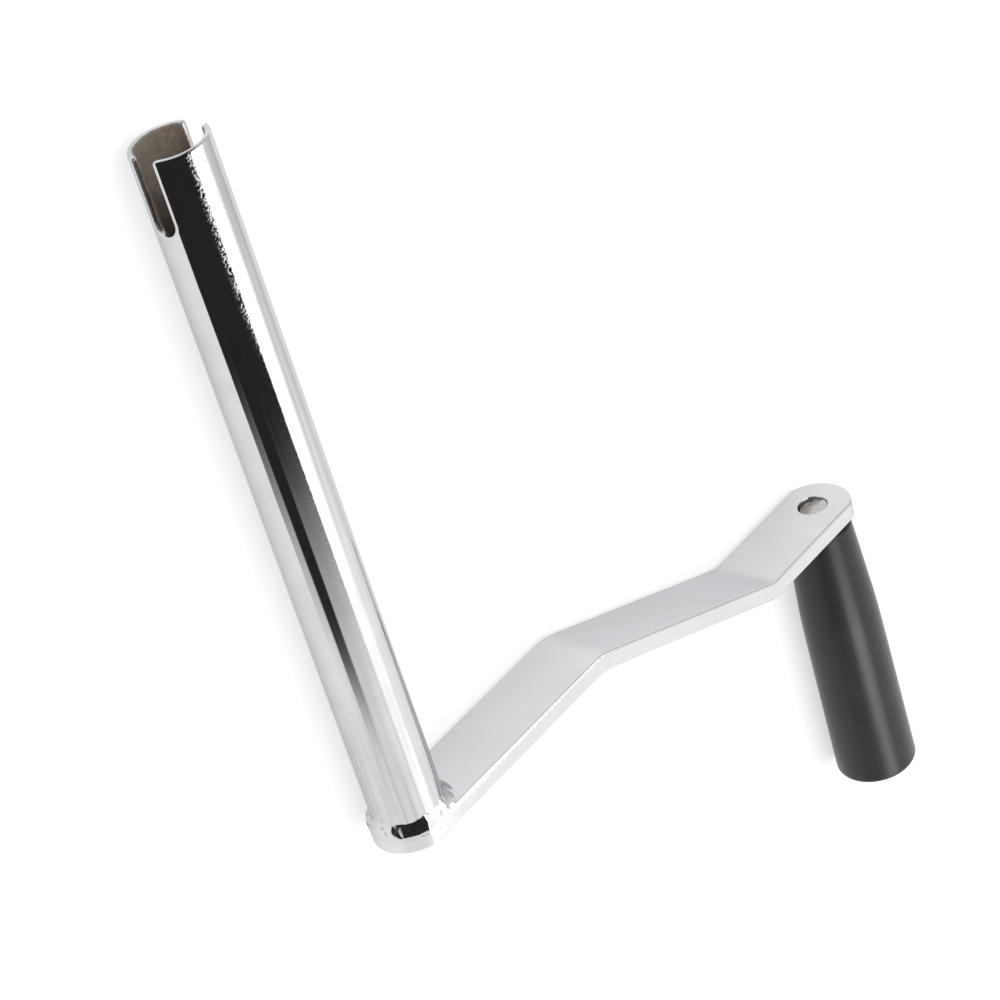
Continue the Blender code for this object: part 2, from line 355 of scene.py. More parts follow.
def tube_grid():
    """The whole wall as one grid that closes both ways, and how far each of its points is plated. A column
    starts at the foot of the inner wall, runs up it, over the rounded mouth or slot edge, and down the outer
    wall, and columns lean sideways near the mouth so that they fan out to the slot's straight sides. Plating
    grows from nought to full over the rim's inner edge, and stays thin over the slot's."""
    across, height, into_x, into_h, rim_share, side_share = slot_path()
    inner_radial, inner_inset = (
        slot_inner_break + (size - slot_inner_break) * into_h**2 for size in inner_break
    )
    lean_start = tube_length - slot_depth - lean_below_slot

    def edge_angle(radius, inset):
        """Angle from the slot's middle of the path set back into the metal, at this radius."""
        distance = across + into_x * inset
        angle = np.arcsin(distance / radius)
        return angle + rim_share * (math.pi / 2 - angle)

    def wall(radius, inset, heights_below, heights_above):
        """Rows of one wall from the foot up to the rounded edge."""
        top_angle = edge_angle(radius, inset)
        side_angle = np.arcsin((slot_half_width + inset) / radius)
        after = side_angle + lean_room
        foot_angle = np.where(
            side_share < 1, top_angle + side_share * lean_room,
            after + (math.pi / 2 - after) * np.clip(
                (top_angle - side_angle) / (math.pi / 2 - side_angle), 0, 1),
        )
        low_height = column(heights_below) * lean_start + 0 * foot_angle
        low_angle = foot_angle + 0 * low_height
        share = column(heights_above)
        top = height + into_h * inset
        high_height = lean_start + share * (top - lean_start)
        high_angle = top_angle + (foot_angle - top_angle) * (1 - share**2)
        return np.concatenate([low_angle, high_angle]), np.concatenate([low_height, high_height])

    below = spread(0, 1, 64)
    above = np.sin(spread(0, math.pi / 2, 30))[1:]
    inner_angle, inner_height = wall(bore_radius, inner_inset, below, above)
    outer_angle, outer_height = wall(tube_radius, outer_break[1], below, above)
    turn = column(spread(0, math.pi / 2, 9)[1:])
    round_in = bore_radius + inner_radial * (1 - np.cos(turn))
    inset_in = inner_inset * (1 - np.sin(turn))
    round_out = tube_radius - outer_break[0] * (1 - np.sin(turn)) + 0 * across
    inset_out = outer_break[1] * (1 - np.cos(turn)) + 0 * across
    edge_radius = np.concatenate([round_in, round_out[:-1]])
    edge_inset = np.concatenate([inset_in, inset_out[:-1]])
    rim_angle = edge_angle(edge_radius, edge_inset)
    rim_height = height + into_h * edge_inset
    angle = np.concatenate([inner_angle, rim_angle, outer_angle[::-1]])
    up = np.concatenate([inner_height, rim_height, outer_height[::-1]])
    radius = np.concatenate([
        bore_radius + 0 * inner_angle, edge_radius + 0 * rim_angle, tube_radius + 0 * outer_angle
    ])
    below_mouth = np.concatenate([tube_length - inner_height, 0 * rim_height, 0 * outer_height])
    bare_in = np.maximum(1 - turn / (math.pi / 2), slot_bareness * into_x**2)
    bare = np.concatenate([1 + 0 * inner_angle, bare_in, 0 * inset_out[:-1], 0 * outer_angle])

    # The quarter is mirrored into a half, and that half carried on round the tube.
    half = math.pi
    quarters = [angle, (half - angle)[:, ::-1], half + angle, (2 * half - angle)[:, ::-1]]
    angle = np.concatenate(quarters, axis=1)
    up, radius, below_mouth, bare = (
        np.concatenate([v, v[:, ::-1], v, v[:, ::-1]], axis=1) for v in (up, radius, below_mouth, bare)
    )
    # The tube's own weld seam stands up inside the bore, and runs out at the mouth.
    inside = radius < bore_radius + 1e-6
    off_seam = np.abs((angle - seam_angle + math.pi) % (2 * math.pi) - math.pi)
    seam = seam_height * np.clip(1 - (off_seam / seam_half_width) ** 2, 0, 1) ** 2
    radius = radius - np.where(inside, seam * np.clip(below_mouth / seam_run_out, 0, 1), 0)
    points = np.stack([radius * np.cos(angle), up, radius * np.sin(angle)], axis=-1)
    return points, 1 - bare


tube_points, tube_plating = tube_grid()
drive_tube = surface(
    "drive_tube_plated", [(tube_points, True, True)], tube_finish(), values={"plating": tube_plating}
)
fit(drive_tube, "drive_tube", "crank")


# ---------------------------------------------------------------------------------------------------
# Crank arm. Flat mild steel bar, sheared with round ends, punched for the grip's pin and bent twice on a
# press brake, then chromed. Shearing leaves one face's edges rolled over and the cut slightly torn.
# ---------------------------------------------------------------------------------------------------
pin_low, pin_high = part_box("grip_pin")
arm_thickness = 0.0068
arm_half_width = (arm_high.z - arm_low.z) / 2
arm_end_radius = foot[0] - arm_low.x
tube_end_inset = 0.0001
arm_reach = (pin_low.x + pin_high.x) / 2 - foot[0]
arm_drop = arm_high.y - arm_low.y - arm_thickness
first_bend = 0.0918
second_bend = 0.1845
bend_radius = 0.0140
hole_radius = 0.0057
hole_break = 0.0005
face_break = 0.0010
back_break = 0.0006
hole_zone = 0.012
hole_lead = 0.030
torn_edge = 0.00005
torn_elsewhere = 0.35
torn_length = 0.8
shear_marks = 0.000006
bend_swell = 0.00030
bend_swell_spread = 0.8

bend_angle = math.atan2(arm_drop, second_bend - first_bend)
bend_middle_radius = bend_radius + arm_thickness / 2
bend_length = bend_middle_radius * bend_angle
bend_tangent = bend_middle_radius * math.tan(bend_angle / 2)
bend_shift = arm_thickness / 2 * math.tan(bend_angle / 2)
first_start = first_bend - bend_shift - bend_tangent
slant_length = math.hypot(arm_drop, second_bend - first_bend) - 2 * bend_tangent
second_start = first_start + bend_length + slant_length
pin_station = second_start + bend_length + arm_reach - (second_bend - bend_shift + bend_tangent)


def bent(station, out_of_face, across):
    """Where a point of the flat bar lands once it is bent: the heading turns evenly through each bend, its
    cosine and sine summed along the bar give the middle line, and the point stands off that line."""
    fine = np.arange(-arm_end_radius - 0.001, pin_station + arm_end_radius + 0.001, 0.00005)
    heading = bend_angle * (
        np.clip((fine - first_start) / bend_length, 0, 1) - np.clip((fine - second_start) / bend_length, 0, 1)
    )
    step = np.diff(fine, prepend=fine[0])
    middle_x = fine[0] + np.cumsum(step * np.cos(heading))
    middle_y = -arm_thickness / 2 - np.cumsum(step * np.sin(heading))
    x, y, turned = (np.interp(station, fine, v) for v in (middle_x, middle_y, heading))
    return np.stack([x + out_of_face * np.sin(turned), y + out_of_face * np.cos(turned), across], axis=-1)


def bar_outline(inset, count_end=57, count_side=420):
    """The flat bar's outline set in by a distance, as (station, across): an arc about the pin, one straight
    side, an arc about the tube, and the other side."""
    pin_radius, width = arm_end_radius - inset, arm_half_width - inset
    foot_radius = pin_radius - tube_end_inset
    pin_corner = np.arcsin(np.clip(width / pin_radius, 0, 1))
    tube_corner = np.arcsin(np.clip(width / foot_radius, 0, 1))
    turn = spread(-1, 1, count_end)
    along = spread(0, 1, count_side)[1:-1]
    side_from = pin_station + pin_radius * np.cos(pin_corner)
    side = side_from + (-foot_radius * np.cos(tube_corner) - side_from) * along
    pin_turn, tube_turn = turn * pin_corner, turn * tube_corner
    station = [pin_station + pin_radius * np.cos(pin_turn), side,
               -foot_radius * np.cos(tube_turn), side[:, ::-1]]
    across = [pin_radius * np.sin(pin_turn), width + 0 * side,
              -foot_radius * np.sin(tube_turn), -width + 0 * side]
    return np.concatenate(station, axis=1), np.concatenate(across, axis=1)


def arm_patches():
    """The bar as two grids, and how torn it is at each of their points. The first runs from a line along the
    middle of its face out to the edge, over the edges and back to the middle of its back, opening into a ring
    where the hole is. The second is the hole's own wall."""
    edge_station, edge_across = bar_outline(column([0.0]))
    angle = np.arctan2(edge_across, edge_station - pin_station)
    near_hole = edge_station > pin_station - hole_zone
    angle = angle * math.pi / np.abs(angle[near_hole]).max()
    ring = hole_radius + hole_break
    knots = [-arm_end_radius, arm_half_width, pin_station - hole_lead, pin_station - hole_zone]
    targets = [arm_half_width - arm_end_radius, arm_half_width, pin_station - hole_lead, pin_station - ring]
    middle_line = np.interp(edge_station, knots, targets)
    inner_station = np.where(near_hole, pin_station + ring * np.cos(angle), middle_line)
    inner_across = np.where(near_hole, ring * np.sin(angle), 0.0)
    half = arm_thickness / 2

    turn = spread(0, math.pi / 2, 9)
    face_inset = face_break * (1 - np.sin(turn))
    face_out = half - face_break * (1 - np.cos(turn))
    wall_out = spread(half - face_break, -half + back_break, 7)[1:-1]
    back_inset = back_break * (1 - np.cos(turn))
    back_out = -half + back_break * (1 - np.sin(turn))
    inset = column(np.concatenate([face_inset, 0 * wall_out, back_inset]))
    out = column(np.concatenate([face_out, wall_out, back_out]))

    around = np.arange(edge_station.shape[1]) / edge_station.shape[1]
    rolled = np.exp(-(((out - half + face_break) / face_break) ** 2))
    near_side = (edge_across > 0) * (edge_station < second_start * torn_length)
    near_side = torn_elsewhere + (1 - torn_elsewhere) * near_side
    torn = rolled * near_side
    tearing = torn_edge * torn * (0.5 + waves(around, 0, 3, (150, 420), count=26))
    marks = shear_marks * waves(around, 0, 5, (250, 600), count=20)
    swell = 0.0
    for start, inside in ((first_start, -1), (second_start, 1)):
        middle = start + bend_length / 2
        bump = np.exp(-(((edge_station - middle) / (bend_swell_spread * bend_length)) ** 2))
        swell = swell + bend_swell * bump * np.clip(inside * out / half, -0.3, 1)
    # Only the outer eighth of the half width moves, so the round ends keep their middles.
    reach = np.clip(np.abs(edge_across) / arm_half_width * 8 - 7, 0, 1)
    station, across = bar_outline(inset)
    side = np.sign(across) * (marks - tearing) * reach + np.sign(across) * swell * reach
    edge_rows = bent(station, out + 0 * station, across + side)

    reach_rows = column(np.concatenate([spread(0, 0.93, 9), [0.985]]))

    def flat_rows(edge_inset, level):
        """Rows of one flat side, from its middle line or the hole nearly out to its edge's rounding."""
        outer_station, outer_across = bar_outline(column([edge_inset]))
        rows_station = inner_station + (outer_station - inner_station) * reach_rows
        rows_across = inner_across + (outer_across - inner_across) * reach_rows
        return bent(rows_station, level + 0 * rows_station, rows_across)

    face_rows = flat_rows(face_break, half)
    back_rows = flat_rows(back_break, -half)[::-1]

    ring_angle = angle[:, near_hole[0]]
    turn = spread(0, math.pi / 2, 6)
    hole_size = column(hole_radius + hole_break * np.concatenate([1 - np.sin(turn), 1 - np.cos(turn)]))
    face_out = half - hole_break * (1 - np.cos(turn))
    back_out = -half + hole_break * (1 - np.sin(turn))
    hole_station = pin_station + hole_size * np.cos(ring_angle)
    hole_out = column(np.concatenate([face_out, back_out])) + 0 * hole_station
    hole_rows = bent(hole_station, hole_out, hole_size * np.sin(ring_angle))
    order = np.argsort(ring_angle[0])
    roughness = np.concatenate([0 * face_rows[..., 0], torn, 0 * back_rows[..., 0]])
    patches = [
        (np.concatenate([face_rows, edge_rows, back_rows]), False, True),
        (hole_rows[:, order], False, True),
    ]
    return patches, np.concatenate([roughness.ravel(), np.zeros(hole_rows[..., 0].size)])


# Painted light: the arm's chrome is the tube's chrome made a few hundredths lighter, so its faces show
# brighter.
bar_chrome_painted_lighter = (0.612, 0.621, 0.637)
bar_mottle_painted_lighter = (0.588, 0.596, 0.610)


def arm_finish():
    """Chrome over rolled bar: almost flat, with faint rolling waviness and lengthwise marks, small pits that
    the plating could not fill, and tears along the sheared edge."""
    material, tree, shader = new_material("arm_plating")
    lengthwise = pattern_place(tree, foot, (0.05, 1.0, 1.0), (0, 0, bend_angle / 2))
    plain = pattern_place(tree, foot)
    marks = noise(tree, lengthwise, 900.0, 4.0)
    waviness = noise(tree, plain, 90.0, 2.0)
    mottle = noise(tree, plain, 45.0, 4.0)
    grit = noise(tree, plain, 1400.0, 5.0, 0.7)
    torn = shader_node(tree, "ShaderNodeAttribute", attribute_name="torn").outputs["Fac"]
    tears = times(tree, noise(tree, plain, 1500.0, 3.0, 0.65), torn)
    connect(tree, shader, {
        # Painted light: the lighter chrome colours make the arm show brighter than the tube.
        "Base Color": mottled(tree, mottle, 0.35, 0.7, bar_chrome_painted_lighter, bar_mottle_painted_lighter),
        "Metallic": 1.0,
        "Specular Tint": chrome_graze,
        "Roughness": ranged(tree, marks, 0.3, 0.75, 0.07, 0.13),
    })
    bumps(tree, shader, [(waviness, 0.0000160), (marks, 0.0000012), (grit, 0.0000014), (tears, 0.0001000)])
    return material


bar_patches, bar_torn = arm_patches()
crank_arm = surface("crank_arm_plated", bar_patches, arm_finish(), values={"torn": bar_torn})
fit(crank_arm, "crank_arm", "crank")


# ---------------------------------------------------------------------------------------------------
# Weld bead. One pass of wire weld round the tube's foot, plated over with everything else. It fills the
# corner, melts the arm's round end and both edges beside the tube, and shows the ripples of the pass.
# ---------------------------------------------------------------------------------------------------
bead_height = 0.0044
bead_on_face = 0.0033
bead_lap = 0.0015
bead_ripple = 0.00003
bead_ripple_spacing = 0.0017
bead_lump = 0.00020
bead_sunk = 0.0004
bead_overlap = 0.00005
bead_edge_zone = 0.0012
bead_bow = (0.00035, 0.0001)
bead_lean = math.radians(28)
bead_slope_share = 0.74
bead_soot = (0.30, 0.29, 0.28)


def bead_grid(count_around=600, count_across=30):
    """A ring whose section runs from its toe on the tube, in a slightly swelling slope, to the arm's edge and
    over it, or to its toe on the arm's face, and returns out of sight inside the metal. Ripples are arcs that
    repeat along the pass. Lumps are a sum of sines, strongest where the bead goes over the arm's edge."""
    around = spread(0, 1, count_around, ends=False)
    angle = 2 * math.pi * around
    beside = np.abs(np.sin(angle))
    toward_end = 0.5 - 0.5 * np.cos(angle)
    edge = np.minimum(arm_end_radius + (1 - toward_end) ** 8, arm_half_width / np.maximum(beside, 1e-6))
    face_toe = tube_radius + bead_on_face * (1 + 0.10 * waves(around, 0, 21, (2, 9)))
    over_edge = np.clip((face_toe - edge) / bead_edge_zone, 0, 1)
    over_edge = over_edge * over_edge * (3 - 2 * over_edge)
    toe_radius = np.minimum(face_toe, edge)
    lap = bead_lap * over_edge * (1 + 0.25 * waves(around, 0, 22, (3, 12)))
    height = bead_height * (1 + 0.10 * waves(around, 0, 23, (2, 10)) + 0.02 * waves(around, 0, 24, (20, 45)))
    t = column(spread(0, 1, count_across))
    s = np.clip(t / bead_slope_share, 0, 1)
    over = np.clip((t - bead_slope_share) / (1 - bead_slope_share), 0, 1)
    inner = tube_radius - bead_overlap
    radius = inner + (toe_radius - inner) * s**1.25
    up = height * (1 - s) ** 1.15 - lap * over
    swell = np.sin(math.pi * np.clip(s, 0, 1)) * np.where(t < bead_slope_share, 1, 0)
    bow = bead_bow[0] * over_edge + bead_bow[1]
    passes = round(2 * math.pi * tube_radius / bead_ripple_spacing)
    arcs = passes * around + 0.45 * (2 * s - 1) ** 2 + 0.2 * waves(around, 0, 25, (3, 15))
    ripple = bead_ripple * np.abs(np.sin(math.pi * arcs))
    lump = bead_lump * (0.20 + 0.80 * over_edge) * waves(around, t, 26, (5, 20), (-1.6, 1.6), count=30)
    fade = np.sin(math.pi * np.clip(t * 1.02, 0, 1)) ** 1.1
    out = (bow * swell) + (ripple + lump) * fade
    radius = np.minimum(radius + out * math.cos(bead_lean), edge)
    up = up + out * math.sin(bead_lean) * (1 - over)
    back_radius = np.stack([toe_radius - bead_sunk, inner - bead_sunk + 0 * toe_radius])
    back_up = np.stack([-np.maximum(lap, bead_sunk), height * 0.9])
    radius, up = np.concatenate([radius, back_radius]), np.concatenate([up, back_up])
    return np.stack([radius * np.cos(angle), up, radius * np.sin(angle)], axis=-1)


def bead_finish():
    """Chrome over weld metal: brighter on its ripples, with dull soot-dark pits between them."""
    material, tree, shader = new_material("weld_plating")
    plain = pattern_place(tree, foot)
    grit = noise(tree, plain, 800.0, 5.0, 0.7)
    pits = noise(tree, plain, 420.0, 3.0)
    connect(tree, shader, {
        "Base Color": mottled(tree, pits, 0.30, 0.45, bead_soot, chrome_colour),
        "Metallic": 1.0,
        "Specular Tint": chrome_graze,
        "Roughness": ranged(tree, grit, 0.3, 0.75, 0.06, 0.20),
    })
    bumps(tree, shader, [(pits, 0.000012), (grit, 0.0000020)])
    return material


weld_bead = surface("weld_bead_plated", [(bead_grid(), True, True)], bead_finish())
fit(weld_bead, "weld_bead", "crank")


# ---------------------------------------------------------------------------------------------------
# Grip pin. Turned steel pin, left bare, since it goes in after plating. Its tail is hammered over inside
# the arm's hole and sits below the face, and its head is sunk in the end of the grip.
# ---------------------------------------------------------------------------------------------------
grip_low, grip_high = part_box("grip_sleeve")
arm_back = -arm_drop - arm_thickness
pin_axis = foot + np.array([arm_reach, arm_back, 0.0])
tail_radius = 0.00562
tail_top = arm_thickness - 0.0009
tail_slope = 0.13
shoulder_radius = 0.0065
head_radius = (pin_high.x - pin_low.x) / 2
head_height = 0.0030
head_chamfer = 0.0006
head_level = pin_low.y - pin_axis[1]
pin_corner_round = 0.0004
shoulder_gap = 0.0003
tail_dish_depth = 0.0003
tail_edge_depth = 0.00025
tail_lip = 0.00005
tail_unevenness = 0.00012
dimple_depth = 0.0005
dimple_edge_depth = 0.0004
# The dark colour serves both the brown film and the painted shade towards the far edge.
pin_steel_colour = (0.52, 0.515, 0.50)
pin_film_and_painted_shade = (0.160, 0.145, 0.128)


def arc_points(centre, radius, start, end, count):
    """(radius, height) points on an arc, with angles measured from straight outwards, in degrees."""
    turn = np.radians(spread(start, end, count))
    return [(centre[0] + radius * math.cos(a), centre[1] + radius * math.sin(a)) for a in turn]


def rounded(corners, size, count=5):
    """An outline of (radius, height) corners, each corner off the axis replaced by a curve that starts and
    ends this far along its two sides: a parabola with the corner as its middle control point."""
    made = []
    for i, corner in enumerate(corners):
        before, after = np.array(corners[i - 1]), np.array(corners[(i + 1) % len(corners)])
        here = np.array(corner)
        if here[0] < 1e-9:
            made.append(tuple(here))
            continue
        reach = min(size, 0.45 * np.linalg.norm(before - here), 0.45 * np.linalg.norm(after - here))
        first = here + (before - here) / np.linalg.norm(before - here) * reach
        last = here + (after - here) / np.linalg.norm(after - here) * reach
        for t in spread(0, 1, count):
            made.append(tuple((1 - t) ** 2 * first + 2 * t * (1 - t) * here + t**2 * last))
    return made


def turned(outline, count_around):
    """A grid made by carrying an outline of (radius, height) points round the Y axis."""
    outline = np.array(outline)
    angle = spread(0, 2 * math.pi, count_around, ends=False)
    radius, height = outline[:, :1], outline[:, 1:]
    return np.stack([radius * np.cos(angle), height + 0 * angle, radius * np.sin(angle)], axis=-1)


def pin_grid():
    """The pin turned from its outline, with the hammered tail's end uneven and higher towards the arm's near
    edge."""
    corners = [
        (0.0, tail_top - tail_dish_depth),
        (tail_radius * 0.55, tail_top - tail_edge_depth),
        (tail_radius * 0.86, tail_top + tail_lip),
        (tail_radius, tail_top - tail_edge_depth),
        (tail_radius, -shoulder_gap),
        (shoulder_radius, -shoulder_gap),
        (shoulder_radius, head_level + head_height),
        (head_radius, head_level + head_height),
        (head_radius, head_level + head_chamfer),
        (head_radius - head_chamfer, head_level),
        (head_radius * 0.30, head_level),
        (head_radius * 0.22, head_level + dimple_edge_depth),
        (0.0, head_level + dimple_depth),
    ]
    points = turned(rounded(corners, pin_corner_round), 128)
    around = spread(0, 1, 128, ends=False)
    reach = np.hypot(points[..., 0], points[..., 2]) / tail_radius
    on_tail = (points[..., 1] > tail_top - 0.001) * np.clip(reach, 0, 1)
    points[..., 1] += on_tail * tail_unevenness * waves(around, reach, 31, (2, 9), (-1, 1), count=16)
    points[..., 1] += on_tail * tail_slope * points[..., 2]
    return points


def pin_finish():
    """Bare turned steel, rough from hammering, with blotches of brown film, and painted shade that darkens it
    towards the far edge, where the hole's wall shades the tail.
    """
    material, tree, shader = new_material("pin_steel")
    plain = pattern_place(tree, pin_axis)
    grit = noise(tree, plain, 700.0, 6.0, 0.7)
    film = noise(tree, plain, 260.0, 4.0)
    across = shader_node(tree, "ShaderNodeSeparateXYZ", {0: plain}).outputs["Z"]
    # Painted shade: the colour darkens towards the far edge, where the hole's wall shades the tail. The
    # blotches are brown film.
    clean_and_painted_lit_share = times(tree, ranged(tree, across, -0.005, 0.003, 0.15), ranged(tree, film, 0.30, 0.55, 0.35))
    connect(tree, shader, {
        "Base Color": blend_colour(tree, clean_and_painted_lit_share, pin_film_and_painted_shade, pin_steel_colour),
        "Metallic": 1.0,
        "Roughness": ranged(tree, grit, 0.3, 0.7, 0.32, 0.55),
    })
    bumps(tree, shader, [(grit, 0.000020), (film, 0.000060)])
    return material


grip_pin = surface("grip_pin_steel", [(pin_grid(), False, True)], pin_finish(), at=pin_axis)
fit(grip_pin, "grip_pin", "crank")


# ---------------------------------------------------------------------------------------------------
# Washers. Two stamped flat washers on the pin, zinc plated: one between the arm and the grip, and one
# under the pin's head. Stamping rounds one edge of each and leaves the other square, but here all four
# corners of each washer's section are rounded alike.
# ---------------------------------------------------------------------------------------------------
washer_bore = 0.0068
washer_edge = 0.00030
zinc_bloom = (0.46, 0.47, 0.49)
zinc_bright = (0.56, 0.565, 0.57)


def zinc_finish():
    """Bright zinc gone slightly dull, with a grey bloom and fine stamping scratches."""
    material, tree, shader = new_material("washer_zinc")
    bloom = noise(tree, pattern_place(tree, pin_axis), 260.0, 4.0)
    scratches = noise(tree, pattern_place(tree, pin_axis, (1.0, 0.2, 0.12)), 1800.0, 4.0)
    connect(tree, shader, {
        "Base Color": mottled(tree, bloom, 0.35, 0.65, zinc_bloom, zinc_bright),
        "Metallic": 1.0,
        "Roughness": ranged(tree, scratches, 0.3, 0.7, 0.22, 0.42),
    })
    bumps(tree, shader, [(scratches, 0.0000040), (bloom, 0.0000080)])
    return material


washer_zinc = zinc_finish()
for node in ("arm_washer", "head_washer"):
    low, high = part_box(node)
    outer = (high.x - low.x) / 2
    bottom, top = low.y - pin_axis[1], high.y - pin_axis[1]
    corners = [(washer_bore, bottom), (outer, bottom), (outer, top), (washer_bore, top)]
    washer = surface(
        node + "_zinc", [(turned(rounded(corners, washer_edge), 128), True, True)], washer_zinc, at=pin_axis
    )
    fit(washer, node, "crank")


# ---------------------------------------------------------------------------------------------------
# Grip. Injection moulded black plastic sleeve, turning freely on the pin. It is narrow at the arm, swells
# to its full girth, and is counterbored at the far end for the pin's head. Two faint parting lines run
# down it.
# ---------------------------------------------------------------------------------------------------
grip_start = grip_high.y - pin_axis[1]
grip_end = grip_low.y - pin_axis[1]
grip_length = grip_start - grip_end
grip_arm_radius = 0.0128
grip_neck_length = 0.0415
grip_neck_radius = 0.0152
grip_end_radius = (grip_high.x - grip_low.x) / 2
grip_softening = 0.0060
grip_arm_round = 0.0014
grip_end_round = 0.0020
grip_bore_radius = 0.0068
counterbore_radius = 0.0115
head_washer_gap = 0.0003
head_washer_thickness = 0.0012
counterbore_floor = head_level + head_height + head_washer_gap + head_washer_thickness + head_washer_gap
rim_break = 0.0004
floor_break = 0.0003
parting_height = 0.00006
parting_width = math.radians(1.2)
parting_turn = math.radians(35)
grip_black = (0.0040, 0.0042, 0.0045)
grip_bloom = (0.0070, 0.0073, 0.0078)


def grip_outline():
    """The grip's half section: a bore, a rounded rim at the arm, two tapers joined by a soft corner, a
    rounded end rim and the counterbore."""

    def girth(height):
        """Outer radius this far from the arm: the mean of the two slopes, plus half their difference times
        a softened distance from the corner."""
        neck_slope = (grip_neck_radius - grip_arm_radius) / grip_neck_length
        body_slope = (grip_end_radius - grip_neck_radius) / (grip_length - grip_neck_length)
        past = height - grip_neck_length
        softened = np.hypot(past, grip_softening)
        mean_slope = (neck_slope + body_slope) / 2
        half_difference = (body_slope - neck_slope) / 2
        return grip_neck_radius + mean_slope * past + half_difference * softened

    first, last = grip_arm_round, grip_length - grip_end_round
    heights = spread(first, last, 70)[1:-1]
    outline = [(grip_bore_radius, grip_start - rim_break), (grip_bore_radius + rim_break, grip_start)]
    outline += arc_points(
        (girth(first) - grip_arm_round, grip_start - grip_arm_round), grip_arm_round, 90, 0, 9
    )
    outline += list(zip(girth(heights), grip_start - heights))
    outline += arc_points(
        (girth(last) - grip_end_round, grip_end + grip_end_round), grip_end_round, 0, -90, 13
    )
    outline += [
        (counterbore_radius + rim_break, grip_end),
        (counterbore_radius, grip_end + rim_break),
        (counterbore_radius, counterbore_floor + floor_break),
        (counterbore_radius - floor_break, counterbore_floor),
        (grip_bore_radius + floor_break, counterbore_floor),
        (grip_bore_radius, counterbore_floor + floor_break),
    ]
    return outline


def grip_grid():
    """The outline carried round the pin's axis, with a low ridge at each of the two parting lines."""
    points = turned(grip_outline(), 256)
    angle = np.arctan2(points[..., 2], points[..., 0])
    radius = np.hypot(points[..., 0], points[..., 2])
    off_line = np.abs((angle + parting_turn) % math.pi - math.pi / 2)
    outside = radius > counterbore_radius + 1.5 * rim_break
    ridge = parting_height * np.exp(-((off_line / parting_width) ** 2)) * outside
    points[..., 0] += ridge * np.cos(angle)
    points[..., 2] += ridge * np.sin(angle)
    return points


def grip_finish():
    """Satin black plastic: fine moulded grain, lengthwise rub marks, and a slightly greyer bloom."""
    material, tree, shader = new_material("grip_plastic")
    plain = pattern_place(tree, pin_axis)
    lengthwise = pattern_place(tree, pin_axis, (1.0, 0.03, 1.0))
    grain = noise(tree, plain, 2600.0, 3.0)
    rubs = noise(tree, lengthwise, 900.0, 4.0)
    bloom = noise(tree, plain, 60.0, 3.0)
    connect(tree, shader, {
        "Base Color": mottled(tree, bloom, 0.3, 0.7, grip_black, grip_bloom),
        "Specular IOR Level": 0.36,
        "Roughness": ranged(tree, rubs, 0.3, 0.7, 0.28, 0.35),
    })
    bumps(tree, shader, [(grain, 0.0000050), (rubs, 0.0000012)])
    return material


grip_sleeve = surface("grip_sleeve_plastic", [(grip_grid(), True, True)], grip_finish(), at=pin_axis)
fit(grip_sleeve, "grip_sleeve", "grip")


# ---------------------------------------------------------------------------------------------------
# Stand and light. A white opal board for a floor, lit from below and by an even light above it. Chrome
# shows its shape by what stands round it: a strip box over the arm, a card behind the camera that is black
# above and white below, another low beside the tube, a dark card past the mouth, and a pale room.
# ---------------------------------------------------------------------------------------------------
floor_size = 14.0
floor_colour = (0.42, 0.42, 0.42)
floor_shade = tuple(0.99 * c for c in floor_colour)
floor_glow = 0.60


def floor_finish():
    """Opal white board lit from below as well as above, very slightly uneven in tone."""
    material, tree, shader = new_material("white_board")
    tone = noise(tree, pattern_place(tree, (0, 0, 0)), 3.0, 2.0)
    connect(tree, shader, {
        "Base Color": mottled(tree, tone, 0.3, 0.7, floor_colour, floor_shade),
        "Roughness": 0.9,
        "Specular IOR Level": 0.1,
        "Emission Color": (1, 1, 1, 1),
        "Emission Strength": floor_glow,
    })
    material.cycles.emission_sampling = "NONE"
    return material


def flat_grid(along_x, along_y):
    """Points of a flat board at these steps along each side, about its own centre."""
    x, y = np.meshgrid(along_x, along_y, indexing="ij")
    return np.stack([x, y, 0 * x], axis=-1)


floor_steps = spread(-floor_size / 2, floor_size / 2, 9)
floor = surface(
    "floor_board", [(flat_grid(floor_steps, floor_steps), False, False)], floor_finish(), at=np.zeros(3)
)
if floor.data.polygons[0].normal.z < 0:
    floor.data.flip_normals()
floor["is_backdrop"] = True

fill_height = 2.0
fill_size = 4.0
fill_brightness = 1.0

fill = bpy.data.objects.new("room_fill", bpy.data.lights.new("room_fill", "AREA"))
fill.data.size = fill_size
fill.data.energy = fill_brightness * math.pi * fill_size**2
fill.location = (0.0, 0.0, fill_height)
fill.visible_camera = False
fill.visible_glossy = False
bpy.context.scene.collection.objects.link(fill)


def card_finish():
    """A card that sends back only the brightness stored at each of its points."""
    material, tree, shader = new_material("graded_card")
    connect(tree, shader, {
        "Base Color": (0, 0, 0, 1),
        "Specular IOR Level": 0.0,
        "Emission Color": (1, 1, 1, 1),
        "Emission Strength": shader_node(
            tree, "ShaderNodeAttribute", attribute_name="brightness"
        ).outputs["Fac"],
    })
    material.cycles.emission_sampling = "NONE"
    return material


graded = card_finish()


def reflected_card(name, grid, brightness, place):
    """A card that shows only in shiny things: the camera and matt things don't see it, and it casts no
    shadow."""
    card = surface(name, [(grid, False, False)], graded, at=np.zeros(3), values={"brightness": brightness})
    card.data.transform(place)
    card.visible_camera = False
    card.visible_diffuse = False
    card.visible_shadow = False
    card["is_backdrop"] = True


def smooth_step(value, low, high):
    """From 0 at low to 1 at high, level at both ends."""
    share = np.clip((value - low) / (high - low), 0, 1)
    return share * share * (3 - 2 * share)


